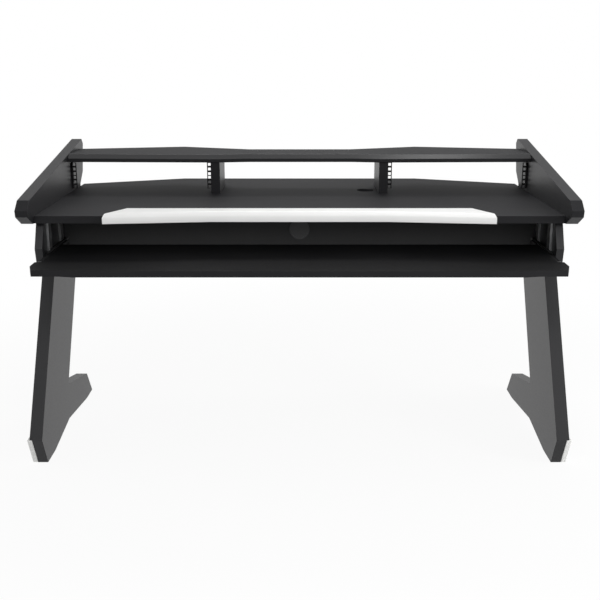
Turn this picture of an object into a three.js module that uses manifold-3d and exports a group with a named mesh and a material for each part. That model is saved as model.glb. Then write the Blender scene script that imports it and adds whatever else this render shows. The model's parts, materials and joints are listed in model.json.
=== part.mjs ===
// Studio desk with a raised bridge shelf, two 19-inch rack bays, a padded armrest and a sliding
// keyboard tray. Millimetres, +Z up. The player sits on the -Y side. The origin is on the floor, under
// the middle of the desk as it stands with its tray part-way out.

import * as THREE from 'three';
import { mergeVertices } from 'three/addons/utils/BufferGeometryUtils.js';
import Module from 'manifold-3d';

const wasm = await Module();
wasm.setup();

// Clearances
const seatGap = 0.3;
const pocketGap = 0.4;
const cutOverrun = 6;

// Heights of the main boards
const glideHeight = 2.2;
const undersideZ = 753;
const worktopThickness = 22;
const bayHeight = 105;
const shelfThickness = 26;
const keyboardRoom = 96.4;

// Half the clear width between the legs, and the thickness of what stands there
const halfOpening = 786;
const legThickness = 39.1;
const sidePanelThickness = 35.4;
const cheekThickness = 23;

// Worktop, seen from above
const worktopFrontY = -309.5;
const worktopRearY = 517.5;
const worktopCornerY = 374.5;
const worktopRearHalf = 437;
const cableHoleRadius = 30;
const cableHoleX = 229;
const cableHoleY = 212.5;

// Armrest, seen from above: its front edge is drawn back in the middle
const armrestRearY = -212;
const armrestRearHalf = 527;
const armrestEndY = -321.5;
const armrestEndHalf = 582;
const armrestMiddleY = -285.5;
const armrestMiddleHalf = 267;
const armrestThickness = 30;
const armrestRound = 10;
const armrestRoundSteps = 4;
const armrestCover = 6;
const armrestBoardThickness = 12;

// Side panel, seen from the side: each rise is above the worktop's underside
const panelBottomY = -318;
const panelUnderY = -372.5;
const panelUnderRise = 29;
const panelNoseY = -376.5;
const panelNoseRise = 48;
const panelBrowY = -343.5;
const panelBrowRise = 74;
const panelCrestY = 375.5;
const panelCrestRise = 184;
const panelBackY = 393.5;
const panelBackRise = 167;
const panelHipY = 367.5;
const panelHipRise = 69;
const panelHeelY = 319.5;
const panelHeelRise = 30;

// Leg, seen from the side: a leaning board that splits into a toe and a heel over a low arch
const legTopFrontY = -1.5;
const legTopRearY = 316.5;
const legNoseY = -391.5;
const legNoseZ = 96;
const legToeY = -343.5;
const legArchFrontY = -251.5;
const legArchY = -48.5;
const legArchZ = 31;
const legArchRearY = 220.5;
const legHeelY = 309.5;
const legHeelTopY = 240.5;
const legHeelTopZ = 90;
const legCrotchY = -32.5;
const legCrotchZ = 150;

// White plate let into the outside of the toe
const toePlateThickness = 15.5;
const toePlateInset = 7.5;
const toePlateLength = 84;

// Cheek under each end of the worktop: each drop is below the worktop's underside
const cheekTopFrontY = -287.5;
const cheekNoseY = -323.5;
const cheekNoseDrop = 74.6;
const cheekBottomFrontY = -310.5;
const cheekDrop = 135;
const cheekBottomRearY = 220;
const cheekTopRearY = 300;

// Back panel behind the keyboard space, with a cable grommet
const backPanelY = -66.5;
const backPanelThickness = 18;
const backPanelDrop = 133;
const grommetRadius = 32.5;
const grommetHoleRadius = 30;
const grommetWall = 1.5;
const grommetRim = 2;
const grommetLedge = 3;
const grommetDrop = 63;

// Bridge shelf, seen from above
const shelfMiddleFrontY = 150.5;
const shelfMiddleHalf = 178;
const shelfStepY = 133.5;
const shelfStepHalf = 278;
const shelfEndFrontY = 149.5;
const shelfBevel = 14;
const shelfMiddleRearY = 315.5;
const shelfWingY = 407;
const shelfWingHalf = 420;
const shelfEndRearY = 331;

// Uprights that carry the shelf and close the rack bays
const uprightThickness = 30;
const uprightFrontY = 138.5;
const uprightRearY = 350;

// Rack rails: punched steel angles on the usual 19-inch pattern
const rackUnit = 44.45;
const rackUnits = 2;
const rackHoleSpan = 465.1;
const rackHolePitch = 15.875;
const rackHoleSize = 9.5;
const rackHoleInset = 10.45;
const railFrontY = 191.5;
const railFlangeEdge = 2.8;
const railDepth = 24;
const railSteel = 2;
const railBend = 3;
const railFootRise = 9.55;

// Keyboard tray, drawn where the photographed desk has it
const trayFrontY = -517.5;
const trayDepth = 368;
const trayThickness = 18;
const trayLipInset = 115.4;
const trayLipRun = 40;
const traySetback = 10;
const trayWingOverlap = 3;
const trayWingLength = 106;
const trayCorner = 16;
const trayCornerRun = 52;

// Telescopic ball slides beside the tray
const slideHeight = 27;
const slideDepth = 12.7;
const slideSteel = 1.2;
const slideOuterLength = 325;
const slideOuterFrontY = -299.5;
const slideInnerLength = 325.5;
const slideInnerSetback = 127.5;
const slideInnerDepth = 10.2;
const slideInnerHeight = 15.2;
const slideInnerLip = 1.2;
const slideOuterFlange = 9.7;
const slideOuterLip = 1.3;
const slideNotchGap = 0.8;
const ballRadius = 2;
const ballsPerRow = 7;
const ballPitch = 12;
const cageSteel = 0.7;
const cageFlange = 7.6;
const cageEnd = 5;
const cageMiddleY = -182.5;
const endCapLength = 10;
const endCapHeight = 18;
const endCapTaperShare = 0.6;

// Hanger brackets that carry the slides
const bracketSteel = 2;
const bracketBend = 4;
const bracketFlange = 25;
const bracketFrontY = -266.5;
const bracketRearY = -124.5;
const bracketWidth = 52;
const bracketRib = 7;
const bracketRibLength = 88;

// Fasteners and fittings
const dowelRadius = 4;
const dowelLength = 32;
const screwHeadRadius = 4;
const screwHeadHeight = 2.2;
const screwShankRadius = 2;
const screwLength = 14;
const boltHeadRadius = 9;
const boltHeadHeight = 3;
const boltShankRadius = 3;
const boltLength = 45;
const glideRadius = 14;
const glidePinRadius = 2.5;
const glidePinLength = 12;
const armrestPlateWidth = 40;
const armrestPlateLength = 90;
const armrestPlateSteel = 2;
const armrestPlateScrewInset = 14;
const armrestPlateShares = [-0.72, -0.27, 0.27, 0.72];
const roundSides = 8;
const holeSides = 28;

// Places that follow from the sizes above
const worktopTopZ = undersideZ + worktopThickness;
const shelfUndersideZ = worktopTopZ + bayHeight;
const trayTopZ = undersideZ - keyboardRoom;
const cheekBottomZ = undersideZ - cheekDrop;
const grommetZ = undersideZ - grommetDrop;
const cheekInnerX = halfOpening - cheekThickness;
const trayHalf = cheekInnerX - bracketSteel - slideDepth - seatGap * 3;
const trayLipHalf = trayHalf - trayLipInset;
const trayWingHalf = cheekInnerX + trayWingOverlap;
const rackBayWidth = rackHoleSpan + rackHoleInset * 2;
const railFlange = rackHoleInset + rackHoleSize / 2 + railFlangeEdge;
const uprightOuterX = halfOpening - rackBayWidth;
const slideMiddleZ = trayTopZ - trayThickness / 2;
const legTopZ = undersideZ - seatGap;
const sides = [[-1, 'left'], [1, 'right']];

// Materials
const finish = (color, roughness, metalness = 0) =>
  new THREE.MeshStandardMaterial({ color, roughness, metalness });
const blackLaminate = () => finish(0x2b2b2d, 0.55);
const blackLacquer = () => finish(0x1f1f20, 0.5);
const whiteLeatherette = () => finish(0xf2f2f0, 0.45);
const whiteLaminate = () => finish(0xededed, 0.4);
const blackSteel = () => finish(0x1a1a1b, 0.45, 0.6);
const zincSteel = () => finish(0x9a9da0, 0.35, 0.9);
const blackPlastic = () => finish(0x222223, 0.5);

// Closed geometry to a solid and back
function solidOf(geometry) {
  const bare = geometry.clone();
  bare.deleteAttribute('normal');
  bare.deleteAttribute('uv');
  const merged = mergeVertices(bare);
  const corners = Array.from(merged.index.array);
  const faces = [];
  for (let i = 0; i < corners.length; i += 3) {
    const [a, b, c] = corners.slice(i, i + 3);
    if (a !== b && b !== c && c !== a) faces.push(a, b, c);
  }
  return new wasm.Manifold(new wasm.Mesh({
    numProp: 3,
    vertProperties: new Float32Array(merged.attributes.position.array),
    triVerts: new Uint32Array(faces),
  }));
}

function geometryOf(solid) {
  const mesh = solid.getMesh();
  const geometry = new THREE.BufferGeometry();
  geometry.setAttribute('position', new THREE.BufferAttribute(new Float32Array(mesh.vertProperties), 3));
  geometry.setIndex(new THREE.BufferAttribute(new Uint32Array(mesh.triVerts), 1));
  return geometry;
}

// Takes the tools away from a piece, then adds what is fixed in it
function shaped(geometry, tools, fixed = []) {
  let body = solidOf(geometry);
  for (const tool of tools) body = body.subtract(solidOf(tool));
  for (const piece of fixed) body = body.add(solidOf(piece));
  return geometryOf(body);
}

// Boards and sections
const shapeOf = (points) => new THREE.Shape(points.map(([a, b]) => new THREE.Vector2(a, b)));

// An outline of X and Y, given thickness upwards
function flatBoard(outline, bottomZ, thickness) {
  const geometry = new THREE.ExtrudeGeometry(shapeOf(outline), { depth: thickness, bevelEnabled: false });
  geometry.translate(0, 0, bottomZ);
  return geometry;
}

// An outline of Y and Z, given thickness along X
function standingBoard(outline, startX, thickness) {
  const geometry = new THREE.ExtrudeGeometry(shapeOf(outline), { depth: thickness, bevelEnabled: false });
  geometry.applyMatrix4(new THREE.Matrix4().set(0, 0, 1, 0, 1, 0, 0, 0, 0, 1, 0, 0, 0, 0, 0, 1));
  geometry.translate(startX, 0, 0);
  return geometry;
}

// A section of X and Z, run along Y
function drawnSection(outline, frontY, length) {
  const geometry = new THREE.ExtrudeGeometry(shapeOf(outline), { depth: length, bevelEnabled: false });
  geometry.rotateX(Math.PI / 2);
  geometry.translate(0, frontY + length, 0);
  return geometry;
}

function block(x0, x1, y0, y1, z0, z1) {
  const geometry = new THREE.BoxGeometry(Math.abs(x1 - x0), Math.abs(y1 - y0), Math.abs(z1 - z0));
  geometry.translate((x0 + x1) / 2, (y0 + y1) / 2, (z0 + z1) / 2);
  return geometry;
}

// A half outline on the +X side, mirrored to the -X side; it runs from front to rear
function mirrored(half) {
  const left = half.map(([x, y]) => [-x, y]).reverse();
  const right = half.filter(([x]) => x > 0);
  return [...right, ...left.filter(([x]) => x < 0)];
}

// Moves each edge of an anticlockwise outline inwards by a distance
function inset(outline, distance) {
  const count = outline.length;
  return outline.map((point, i) => {
    const before = outline[(i + count - 1) % count];
    const after = outline[(i + 1) % count];
    const first = new THREE.Vector2(point[0] - before[0], point[1] - before[1]).normalize();
    const second = new THREE.Vector2(after[0] - point[0], after[1] - point[1]).normalize();
    const inwards = new THREE.Vector2(-first.y - second.y, first.x + second.x).normalize();
    const reach = distance / inwards.dot(new THREE.Vector2(-first.y, first.x));
    return [point[0] + inwards.x * reach, point[1] + inwards.y * reach];
  });
}

// A closed skin over outlines of equal count, one above the other
function stacked(levels) {
  const count = levels[0].outline.length;
  const positions = levels.flatMap(({ outline, z }) => outline.flatMap(([x, y]) => [x, y, z]));
  const faces = [];
  for (let level = 0; level < levels.length - 1; level += 1) {
    for (let i = 0; i < count; i += 1) {
      const a = level * count + i;
      const b = level * count + ((i + 1) % count);
      faces.push(a, b, b + count, a, b + count, a + count);
    }
  }
  const top = (levels.length - 1) * count;
  const flat = (outline) => outline.map(([x, y]) => new THREE.Vector2(x, y));
  for (const [a, b, c] of THREE.ShapeUtils.triangulateShape(flat(levels[0].outline), [])) faces.push(c, b, a);
  for (const [a, b, c] of THREE.ShapeUtils.triangulateShape(flat(levels.at(-1).outline), [])) {
    faces.push(top + a, top + b, top + c);
  }
  const geometry = new THREE.BufferGeometry();
  geometry.setAttribute('position', new THREE.Float32BufferAttribute(positions, 3));
  geometry.setIndex(faces);
  return geometry;
}

// Turned pieces stand on +Y and are turned to point their head along a direction
function turned(profile, head, place, steps = roundSides) {
  const geometry = new THREE.LatheGeometry(profile.map(([r, y]) => new THREE.Vector2(r, y)), steps);
  const upwards = new THREE.Vector3(0, 1, 0);
  geometry.applyQuaternion(new THREE.Quaternion().setFromUnitVectors(upwards, new THREE.Vector3(...head)));
  geometry.translate(...place);
  return geometry;
}

const rod = (radius, length, head, place, steps = roundSides) => turned([
  [0, -length / 2],
  [radius, -length / 2],
  [radius, length / 2],
  [0, length / 2],
], head, place, steps);

// The place is under the head, on the face that the head bears on
const screw = (head, place) => turned([
  [0, -screwLength],
  [screwShankRadius, -screwLength],
  [screwShankRadius, 0],
  [screwHeadRadius, 0],
  [screwHeadRadius, screwHeadHeight / 2],
  [screwHeadRadius / 2, screwHeadHeight],
  [0, screwHeadHeight],
], head, place);
const screwHole = (head, place) =>
  rod(screwShankRadius + seatGap, (screwLength + cutOverrun) * 2, head, place);

const dowel = (head, place) => rod(dowelRadius, dowelLength, head, place);
const dowelHole = (head, place) => rod(dowelRadius + seatGap, dowelLength + seatGap * 2, head, place);

const pieces = [];
function add(name, geometry, material) {
  const mesh = new THREE.Mesh(geometry, material);
  mesh.name = name;
  pieces.push(mesh);
  return mesh;
}

// Where dowels, bolts and screws go
const along = (from, to, share) => from + (to - from) * share;
const legMiddleX = halfOpening + legThickness / 2;
const worktopMiddleZ = undersideZ + worktopThickness / 2;
const shelfMiddleZ = shelfUndersideZ + shelfThickness / 2;
const worktopDowelShares = [0.16, 0.58, 0.86];
const worktopDowelYs = worktopDowelShares.map((share) => along(worktopFrontY, worktopCornerY, share));
const legDowelShares = [0.13, 0.5, 0.76];
const legDowelYs = legDowelShares.map((share) => along(legTopFrontY, legTopRearY, share));
const shelfDowelInset = 40;
const shelfDowelYs = [shelfEndFrontY + shelfDowelInset, shelfEndRearY - shelfDowelInset];
const uprightDowelInset = 42;
const uprightDowelYs = [uprightFrontY + uprightDowelInset, uprightRearY - uprightDowelInset];
const uprightMiddleX = uprightOuterX - uprightThickness / 2;
const backPanelNotchZ = slideMiddleZ + slideHeight / 2 + slideNotchGap;
const backPanelDowelShares = [0.26, 0.75];
const backPanelDowelZs = backPanelDowelShares.map((share) => along(backPanelNotchZ, undersideZ, share));
const legBoltShares = [[0.1, 0.64], [0.63, 0.64], [0.33, 0.2]];
const legBoltPlaces = legBoltShares.map(([yShare, zShare]) => [
  along(legTopFrontY, legTopRearY, yShare),
  along(cheekBottomZ, undersideZ, zShare),
]);
const backPanelMiddleY = backPanelY + backPanelThickness / 2;

// Dowels that lie along X between boards on each side
const crosswiseDowels = (side, x, places) => places.map(([y, z]) => [[side, 0, 0], [side * x, y, z]]);
const upwardDowels = (x, ys, z) => ys.map((y) => [[0, 0, 1], [x, y, z]]);
const drilled = (list) => list.map(([head, place]) => dowelHole(head, place));
const pegged = (list) => list.map(([head, place]) => dowel(head, place));
const worktopDowels = (side) =>
  crosswiseDowels(side, halfOpening, worktopDowelYs.map((y) => [y, worktopMiddleZ]));
const shelfDowels = (side) =>
  crosswiseDowels(side, halfOpening, shelfDowelYs.map((y) => [y, shelfMiddleZ]));
const backPanelDowels = (side) =>
  crosswiseDowels(side, cheekInnerX, backPanelDowelZs.map((z) => [backPanelMiddleY, z]));
const legDowels = (side) => upwardDowels(side * legMiddleX, legDowelYs, undersideZ);
const uprightDowels = (side) => [
  ...upwardDowels(side * uprightMiddleX, uprightDowelYs, worktopTopZ),
  ...upwardDowels(side * uprightMiddleX, uprightDowelYs, shelfUndersideZ),
];

// A bent steel angle: one leg of it runs along the first axis, the other along the second
function bentAngle(first, second, steel, bend) {
  const steps = 3;
  const arc = (radius) => Array.from({ length: steps + 1 }, (unused, k) => {
    const angle = -Math.PI / 2 - (k / steps) * (Math.PI / 2);
    return [bend + radius * Math.cos(angle), bend + radius * Math.sin(angle)];
  });
  return [
    [first, 0],
    ...arc(bend),
    [0, second],
    [steel, second],
    ...arc(bend - steel).reverse(),
    [first, steel],
  ];
}

// Armrest: a board with a firm padded cover, in a notch of the worktop's front edge
const armrestOutline = mirrored([
  [armrestMiddleHalf, armrestMiddleY],
  [armrestEndHalf, armrestEndY],
  [armrestRearHalf, armrestRearY],
]);
const armrestNotch = inset(mirrored([
  [armrestEndHalf, armrestEndY],
  [armrestRearHalf, armrestRearY],
]), -pocketGap);
const armrestMeanHalf = (armrestRearHalf + armrestEndHalf) / 2;
const armrestPlateXs = armrestPlateShares.map((share) => share * armrestMeanHalf);
const armrestPlateBottomZ = undersideZ - seatGap - armrestPlateSteel;
const armrestScrewPlaces = (x) => [-1, 1].map((end) =>
  [x, armrestRearY + end * (armrestPlateLength / 2 - armrestPlateScrewInset), armrestPlateBottomZ]);
const armrestScrewHoles = () => armrestPlateXs.flatMap(armrestScrewPlaces)
  .map((place) => screwHole([0, 0, -1], place));

function armrestPad() {
  const shoulderZ = undersideZ + armrestThickness - armrestRound;
  const levels = [{ outline: armrestOutline, z: undersideZ }];
  for (let step = 0; step <= armrestRoundSteps; step += 1) {
    const angle = (step / armrestRoundSteps) * (Math.PI / 2);
    const drawnIn = armrestRound * (1 - Math.cos(angle));
    levels.push({ outline: inset(armrestOutline, drawnIn), z: shoulderZ + armrestRound * Math.sin(angle) });
  }
  const pocket = flatBoard(
    inset(armrestOutline, armrestCover - pocketGap),
    undersideZ - cutOverrun,
    armrestBoardThickness + pocketGap + cutOverrun,
  );
  return shaped(stacked(levels), [pocket]);
}

function armrestPlate(x) {
  const plate = block(
    x - armrestPlateWidth / 2,
    x + armrestPlateWidth / 2,
    armrestRearY - armrestPlateLength / 2,
    armrestRearY + armrestPlateLength / 2,
    armrestPlateBottomZ,
    armrestPlateBottomZ + armrestPlateSteel,
  );
  return shaped(plate, [], armrestScrewPlaces(x).map((place) => screw([0, 0, -1], place)));
}

// Hanger brackets: a plate beside the slide, bent in under the worktop and stiffened along its front
const bracketX = cheekInnerX - seatGap;
const bracketTopZ = undersideZ - seatGap;
const slideX = trayHalf + seatGap;
const bracketBottomZ = slideMiddleZ - slideHeight / 2;
const bracketScrewXShare = 0.6;
const bracketScrewX = bracketX - bracketFlange * bracketScrewXShare;
const bracketScrewSpread = 16;
const bracketYs = [['front', bracketFrontY], ['rear', bracketRearY]];
const bracketScrewPlaces = (side, frontY) => [-1, 1].map((end) =>
  [side * bracketScrewX, frontY + bracketWidth / 2 + end * bracketScrewSpread, bracketTopZ - bracketSteel]);
const bracketHoles = (side) => bracketYs.flatMap(([, frontY]) =>
  bracketScrewPlaces(side, frontY).map((place) => screwHole([0, 0, -1], place)));

// Countersunk screws through the slide's outer member and its bracket into the cheek
const sunkDepth = slideSteel;
const sunkHeadRadius = screwShankRadius + sunkDepth;
const sunkScrew = (head, place) => turned([
  [0, -screwLength],
  [screwShankRadius, -screwLength],
  [screwShankRadius, -sunkDepth],
  [sunkHeadRadius, 0],
  [0, 0],
], head, place);
const sunkHole = (head, place) => turned([
  [0, -screwLength - cutOverrun],
  [screwShankRadius + seatGap, -screwLength - cutOverrun],
  [screwShankRadius + seatGap, -sunkDepth],
  [sunkHeadRadius + seatGap, 0],
  [sunkHeadRadius + seatGap, seatGap],
  [0, seatGap],
], head, place);
const outerScrewX = slideX + slideDepth - slideSteel;
const outerScrewPlaces = (side) => bracketYs.map(([, frontY]) =>
  [side * outerScrewX, frontY + bracketWidth / 2, slideMiddleZ]);
const outerScrewHoles = (side) => outerScrewPlaces(side).map((place) => sunkHole([-side, 0, 0], place));

function slideBracket(side, frontY) {
  const section = bentAngle(bracketFlange, bracketTopZ - bracketBottomZ, bracketSteel, bracketBend)
    .map(([a, b]) => [side * (bracketX - a), bracketTopZ - b]);
  const rib = block(
    side * bracketX,
    side * (bracketX - bracketRib),
    frontY,
    frontY + bracketSteel,
    bracketTopZ - bracketSteel - bracketRibLength,
    bracketTopZ - bracketSteel,
  );
  return shaped(drawnSection(section, frontY, bracketWidth), outerScrewHoles(side), [
    rib,
    ...bracketScrewPlaces(side, frontY).map((place) => screw([0, 0, -1], place)),
  ]);
}

// Telescopic slide: the outer member on the brackets, the inner one on the tray, and between them two
// rows of balls in a bent retainer. Sections are drawn outwards from the tray's edge.
const slideSection = (side, outline) => outline.map(([u, z]) => [side * (slideX + u), slideMiddleZ + z]);
const slideInnerFrontY = trayFrontY + slideInnerSetback;

function slideOuter(side) {
  const half = slideHeight / 2;
  const lipEnd = half - slideSteel - slideOuterLip;
  const mouth = slideDepth - slideOuterFlange;
  const upper = [
    [slideDepth, half],
    [mouth, half],
    [mouth, lipEnd],
    [mouth + slideSteel, lipEnd],
    [mouth + slideSteel, half - slideSteel],
    [slideDepth - slideSteel, half - slideSteel],
  ];
  const lower = upper.map(([u, z]) => [u, -z]).reverse();
  return shaped(
    drawnSection(slideSection(side, [...upper, ...lower]), slideOuterFrontY, slideOuterLength),
    [],
    outerScrewPlaces(side).map((place) => sunkScrew([-side, 0, 0], place)),
  );
}

const innerScrewInset = 32;
const innerScrewCount = 3;
const innerScrewPlaces = (side) => Array.from({ length: innerScrewCount }, (unused, k) => {
  const first = slideInnerFrontY + innerScrewInset;
  const last = trayFrontY + trayDepth - innerScrewInset;
  const y = first + ((last - first) * k) / (innerScrewCount - 1);
  return [side * (slideX + slideSteel), y, slideMiddleZ];
});
const innerScrewHoles = (side) => innerScrewPlaces(side).map((place) => screwHole([side, 0, 0], place));

function slideInner(side) {
  const half = slideInnerHeight / 2;
  const upper = [
    [0, half],
    [slideInnerDepth - slideSteel, half],
    [slideInnerDepth - slideSteel, half + slideInnerLip],
    [slideInnerDepth, half + slideInnerLip],
    [slideInnerDepth, half - slideSteel],
    [slideSteel, half - slideSteel],
  ];
  const lower = upper.map(([u, z]) => [u, -z]).reverse();
  return shaped(
    drawnSection(slideSection(side, [...upper, ...lower]), slideInnerFrontY, slideInnerLength),
    [],
    innerScrewPlaces(side).map((place) => screw([side, 0, 0], place)),
  );
}

const ballMiddleZ = slideInnerHeight / 2 + seatGap + ballRadius;
const ballMiddleU = slideDepth - slideOuterFlange + slideSteel + pocketGap + ballRadius;
const ballYs = Array.from({ length: ballsPerRow }, (unused, k) =>
  cageMiddleY + (k - (ballsPerRow - 1) / 2) * ballPitch);
const cageLength = (ballsPerRow - 1) * ballPitch + (ballRadius + cageEnd) * 2;

function ballRetainer(side) {
  const back = slideDepth - slideSteel - seatGap;
  const reach = ballMiddleZ + cageSteel / 2;
  const upper = [
    [back, reach],
    [back - cageFlange, reach],
    [back - cageFlange, reach - cageSteel],
    [back - cageSteel, reach - cageSteel],
  ];
  const lower = upper.map(([u, z]) => [u, -z]).reverse();
  const balls = ballYs.flatMap((y) => [-1, 1].map((row) => {
    const ball = new THREE.SphereGeometry(ballRadius, 8, 5);
    ball.translate(side * (slideX + ballMiddleU), y, slideMiddleZ + row * ballMiddleZ);
    return ball;
  }));
  return shaped(
    drawnSection(slideSection(side, [...upper, ...lower]), cageMiddleY - cageLength / 2, cageLength),
    [],
    balls,
  );
}

const endCapReach = slideDepth - seatGap;
const endCapTaper = endCapLength * endCapTaperShare;

function slideEndCap(side) {
  const rearY = slideInnerFrontY - seatGap;
  const outline = [
    [0, rearY],
    [endCapReach, rearY],
    [endCapReach, rearY - endCapLength + endCapTaper],
    [endCapReach - endCapTaper, rearY - endCapLength],
    [0, rearY - endCapLength],
  ].map(([u, y]) => [side * (slideX + u), y]);
  return flatBoard(outline, slideMiddleZ - endCapHeight / 2, endCapHeight);
}

// Keyboard tray: its front edge draws back towards the ends, its corners are cut off, and a wing at
// each end hides the front of the slide and reaches in front of the cheek
function keyboardTray() {
  const tipY = trayFrontY + traySetback;
  const outline = mirrored([
    [trayLipHalf, trayFrontY],
    [trayLipHalf + trayLipRun, tipY],
    [trayWingHalf - trayCorner, tipY],
    [trayWingHalf, tipY + trayCornerRun],
    [trayWingHalf, tipY + trayWingLength],
    [trayHalf, tipY + trayWingLength],
    [trayHalf, trayFrontY + trayDepth],
  ]);
  return shaped(
    flatBoard(outline, trayTopZ - trayThickness, trayThickness),
    sides.flatMap(([side]) => innerScrewHoles(side)),
  );
}

// Rack rails: a punched flange faces the player, and a web lies on the bay's wall
const railLength = rackUnits * rackUnit;
const railMiddleZ = worktopTopZ + railFootRise + railLength / 2;
const railWalls = [
  ['left_outer', -halfOpening, 1],
  ['left_inner', -uprightOuterX, -1],
  ['right_inner', uprightOuterX, 1],
  ['right_outer', halfOpening, -1],
];
const rackHoleZs = Array.from({ length: rackUnits }, (unused, unit) => [-1, 0, 1].map((place) =>
  railMiddleZ + (unit - (rackUnits - 1) / 2) * rackUnit + place * rackHolePitch)).flat();
const railScrewShares = [1 / 6, 5 / 6];
const railScrewZs = railScrewShares.map((share) => railMiddleZ + railLength * (share - 1 / 2));
const railScrewDepthShare = 0.62;
const railScrewY = railFrontY + railDepth * railScrewDepthShare;
const railScrewPlaces = (wallX, inward) => railScrewZs.map((z) =>
  [wallX + inward * (seatGap * 2 + railSteel), railScrewY, z]);
const railScrewHoles = (wallX, inward) =>
  railScrewPlaces(wallX, inward).map((place) => screwHole([inward, 0, 0], place));

function rackRail(wallX, inward) {
  const outline = bentAngle(railFlange, railDepth, railSteel, railBend)
    .map(([a, b]) => [wallX + inward * (seatGap + a), railFrontY + b]);
  const holeX = wallX + inward * rackHoleInset;
  const holes = rackHoleZs.map((z) => block(
    holeX - rackHoleSize / 2,
    holeX + rackHoleSize / 2,
    railFrontY - cutOverrun,
    railFrontY + cutOverrun,
    z - rackHoleSize / 2,
    z + rackHoleSize / 2,
  ));
  return shaped(
    flatBoard(outline, railMiddleZ - railLength / 2, railLength),
    [...holes, ...railScrewHoles(wallX, inward)],
  );
}

// Worktop
function worktop() {
  const outline = mirrored([
    [halfOpening - seatGap, worktopFrontY],
    [halfOpening - seatGap, worktopCornerY],
    [worktopRearHalf, worktopRearY],
  ]);
  const cableHole = rod(
    cableHoleRadius,
    worktopThickness * 2,
    [0, 0, 1],
    [cableHoleX, cableHoleY, worktopMiddleZ],
    holeSides,
  );
  return shaped(
    flatBoard(outline, undersideZ, worktopThickness),
    [
      flatBoard(armrestNotch, undersideZ - cutOverrun, worktopThickness + cutOverrun * 2),
      cableHole,
      ...armrestScrewHoles(),
      ...sides.flatMap(([side]) => [...drilled(uprightDowels(side)), ...bracketHoles(side)]),
    ],
    sides.flatMap(([side]) => pegged(worktopDowels(side))),
  );
}

// Bridge shelf: a square lower edge at the front and a bevel above it
function bridgeShelf() {
  const outline = (setback) => mirrored([
    [shelfMiddleHalf, shelfMiddleFrontY + setback],
    [shelfStepHalf, shelfStepY + setback],
    [halfOpening - seatGap, shelfEndFrontY + setback],
    [halfOpening - seatGap, shelfEndRearY],
    [shelfWingHalf, shelfWingY],
    [shelfMiddleHalf, shelfMiddleRearY],
  ]);
  const topZ = shelfUndersideZ + shelfThickness;
  const board = stacked([
    { outline: outline(0), z: shelfUndersideZ },
    { outline: outline(0), z: topZ - shelfBevel },
    { outline: outline(shelfBevel), z: topZ },
  ]);
  return shaped(
    board,
    sides.flatMap(([side]) => drilled(uprightDowels(side))),
    sides.flatMap(([side]) => pegged(shelfDowels(side))),
  );
}

function upright(side) {
  const outline = [
    [uprightFrontY, worktopTopZ + seatGap],
    [uprightRearY, worktopTopZ + seatGap],
    [uprightRearY, shelfUndersideZ - seatGap],
    [uprightFrontY, shelfUndersideZ - seatGap],
  ];
  const startX = side > 0 ? uprightOuterX - uprightThickness : -uprightOuterX;
  return shaped(
    standingBoard(outline, startX, uprightThickness),
    railScrewHoles(side * uprightOuterX, side),
    pegged(uprightDowels(side)),
  );
}

// Side panel, leg and cheek
const boardAt = (side, outline, innerX, thickness) =>
  standingBoard(outline, side > 0 ? innerX : -innerX - thickness, thickness);

function sidePanel(side) {
  const outline = [
    [panelBottomY, undersideZ],
    [legTopRearY, undersideZ],
    [panelHeelY, undersideZ + panelHeelRise],
    [panelHipY, undersideZ + panelHipRise],
    [panelBackY, undersideZ + panelBackRise],
    [panelCrestY, undersideZ + panelCrestRise],
    [panelBrowY, undersideZ + panelBrowRise],
    [panelNoseY, undersideZ + panelNoseRise],
    [panelUnderY, undersideZ + panelUnderRise],
  ];
  return shaped(boardAt(side, outline, halfOpening, sidePanelThickness), [
    ...drilled(worktopDowels(side)),
    ...drilled(shelfDowels(side)),
    ...drilled(legDowels(side)),
    ...railScrewHoles(side * halfOpening, -side),
  ]);
}

const toePlateOutline = [
  [legToeY, glideHeight],
  [legToeY + toePlateLength, glideHeight],
  [legNoseY + toePlateLength, legNoseZ],
  [legNoseY, legNoseZ],
];
const toePlateX = halfOpening + legThickness - toePlateInset;
const glideYs = [(legToeY + legArchFrontY) / 2, (legArchRearY + legHeelY) / 2];
const glidePlaces = (side) => glideYs.map((y) => [side * legMiddleX, y, glideHeight - seatGap]);
const legBoltHole = (side, place) => rod(
  boltShankRadius + seatGap,
  boltLength * 2 + seatGap * 2,
  [side, 0, 0],
  [side * cheekInnerX, ...place],
);
const legBoltHoles = (side) => legBoltPlaces.map((place) => legBoltHole(side, place));

function leg(side) {
  const outline = [
    [legToeY, glideHeight],
    [legArchFrontY, glideHeight],
    [legArchY, legArchZ],
    [legArchRearY, glideHeight],
    [legHeelY, glideHeight],
    [legHeelTopY, legHeelTopZ],
    [legCrotchY, legCrotchZ],
    [legTopRearY, legTopZ],
    [legTopFrontY, legTopZ],
    [legNoseY, legNoseZ],
  ];
  const pocket = boardAt(
    side,
    inset(toePlateOutline, -pocketGap),
    toePlateX - pocketGap,
    toePlateThickness + cutOverrun,
  );
  const pinHoles = glidePlaces(side).map((place) =>
    rod(glidePinRadius + seatGap, (glidePinLength + seatGap) * 2, [0, 0, 1], place));
  return shaped(
    boardAt(side, outline, halfOpening, legThickness),
    [pocket, ...pinHoles, ...legBoltHoles(side)],
    pegged(legDowels(side)),
  );
}

const legBolt = (side, place) => turned([
  [0, -boltLength],
  [boltShankRadius, -boltLength],
  [boltShankRadius, 0],
  [boltHeadRadius, 0],
  [boltHeadRadius, boltHeadHeight / 2],
  [boltHeadRadius - boltHeadHeight / 2, boltHeadHeight],
  [0, boltHeadHeight],
], [-side, 0, 0], [side * (cheekInnerX - seatGap), ...place], holeSides / 2);

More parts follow.
